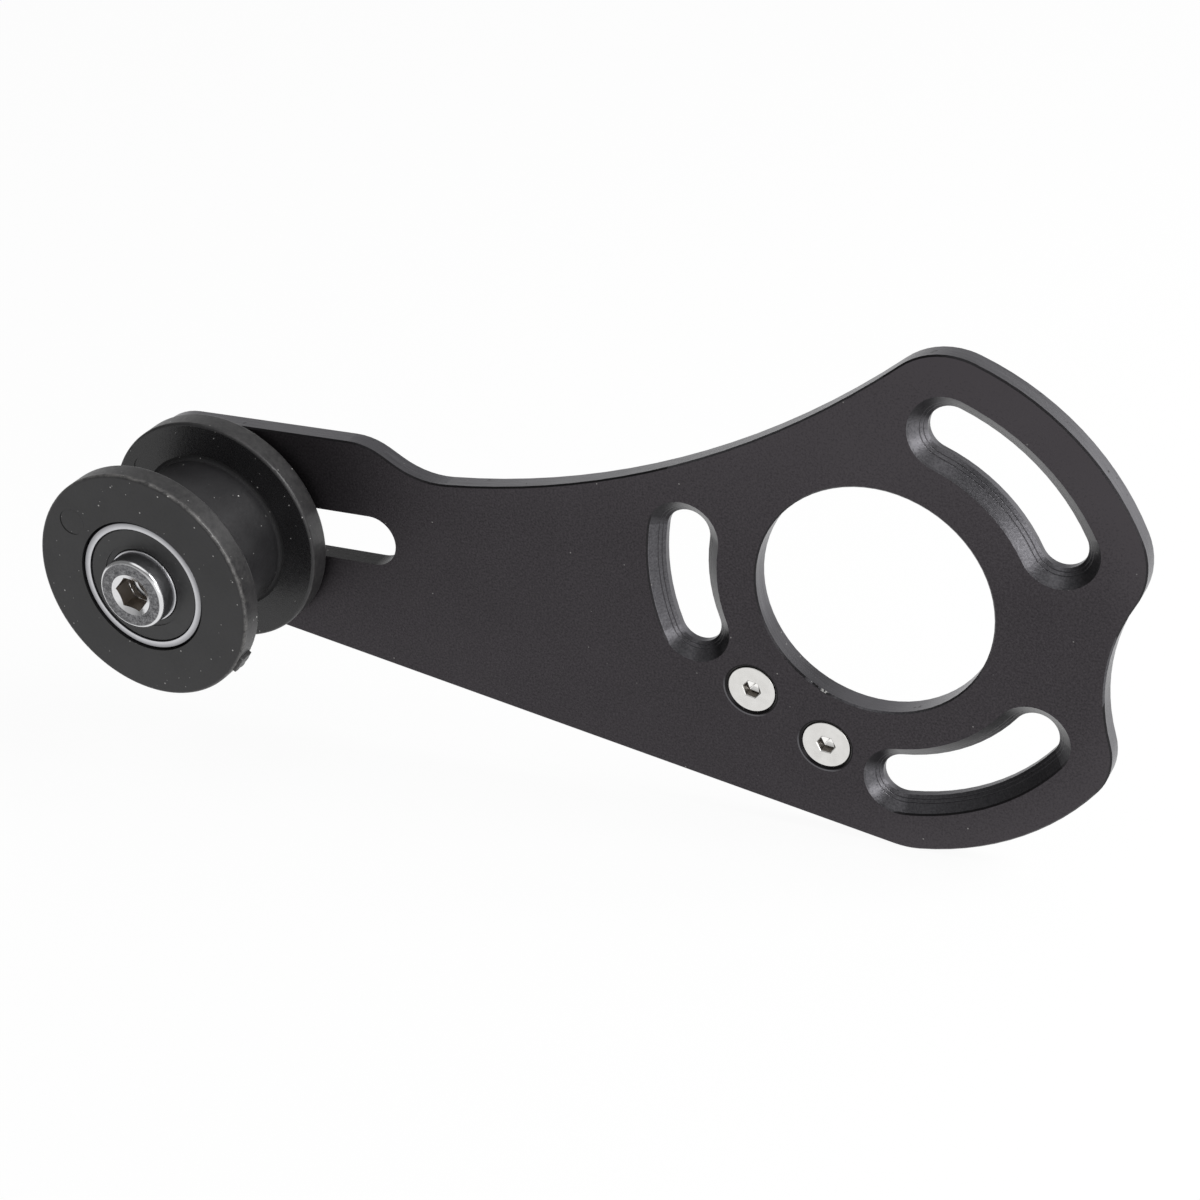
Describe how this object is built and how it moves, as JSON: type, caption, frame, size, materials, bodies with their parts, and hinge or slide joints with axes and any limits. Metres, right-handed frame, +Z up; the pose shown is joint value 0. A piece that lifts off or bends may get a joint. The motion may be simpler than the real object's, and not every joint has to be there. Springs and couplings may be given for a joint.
{
  "type": "chain guide",
  "caption": "Flat slotted bicycle chain guide plate with a round bore, countersunk curved mounting slots and a grooved roller on sealed bearings that is clamped in the arm's slot.",
  "frame": {"origin": "centre of the bottom bracket bore on the plate's back face, which seats on the frame's bosses", "axes": "+X along the arm slot from the roller to the bore, -Y outboard along the bore and roller axes, +Z up"},
  "size_m": [0.1667, 0.0354, 0.0796],
  "materials": {
    "black_alloy": "bead blasted, black anodised",
    "roller_rubber": "moulded, matte black",
    "bearing_steel": "ground",
    "seal_rubber": "moulded, black",
    "cage_nylon": "moulded",
    "plated_steel": "turned and zinc plated",
    "stainless": "satin"
  },
  "bodies": {
    "plate": {"plate": "black_alloy", "upper_flat_screw": "stainless", "lower_flat_screw": "stainless", "upper_screw_nut": "stainless", "lower_screw_nut": "stainless"},
    "carriage": {"sleeve_nut": "plated_steel", "inner_spacer": "plated_steel", "rear_spacer": "plated_steel", "front_bearing_inner_ring": "bearing_steel", "rear_bearing_inner_ring": "bearing_steel", "clamp_bolt": "plated_steel", "clamp_washer": "plated_steel"},
    "roller": {"roller": "roller_rubber", "front_bearing_outer_ring": "bearing_steel", "rear_bearing_outer_ring": "bearing_steel", "front_bearing_outer_seal": "seal_rubber", "front_bearing_inner_seal": "seal_rubber", "rear_bearing_outer_seal": "seal_rubber", "rear_bearing_inner_seal": "seal_rubber"},
    "front_cage": {"front_bearing_cage": "cage_nylon", "front_bearing_balls": "bearing_steel"},
    "rear_cage": {"rear_bearing_cage": "cage_nylon", "rear_bearing_balls": "bearing_steel"}
  },
  "joints": [
    {"name": "roller_slide", "type": "slide", "parent": "plate", "child": "carriage", "axis": [1, 0, 0], "range_m": [-0.003, 0.0264]},
    {"name": "roller_spin", "type": "hinge", "parent": "carriage", "child": "roller", "pos_m": [-0.1092, 0, -0.0033], "axis": [0, -1, 0], "continuous": true},
    {"name": "front_cage_spin", "type": "hinge", "parent": "carriage", "child": "front_cage", "pos_m": [-0.1092, 0, -0.0033], "axis": [0, -1, 0], "continuous": true},
    {"name": "rear_cage_spin", "type": "hinge", "parent": "carriage", "child": "rear_cage", "pos_m": [-0.1092, 0, -0.0033], "axis": [0, -1, 0], "continuous": true}
  ],
  "couplings": [
    {"joint": "front_cage_spin", "follows": "roller_spin", "ratio": 0.6323},
    {"joint": "rear_cage_spin", "follows": "roller_spin", "ratio": 0.6323}
  ]
}
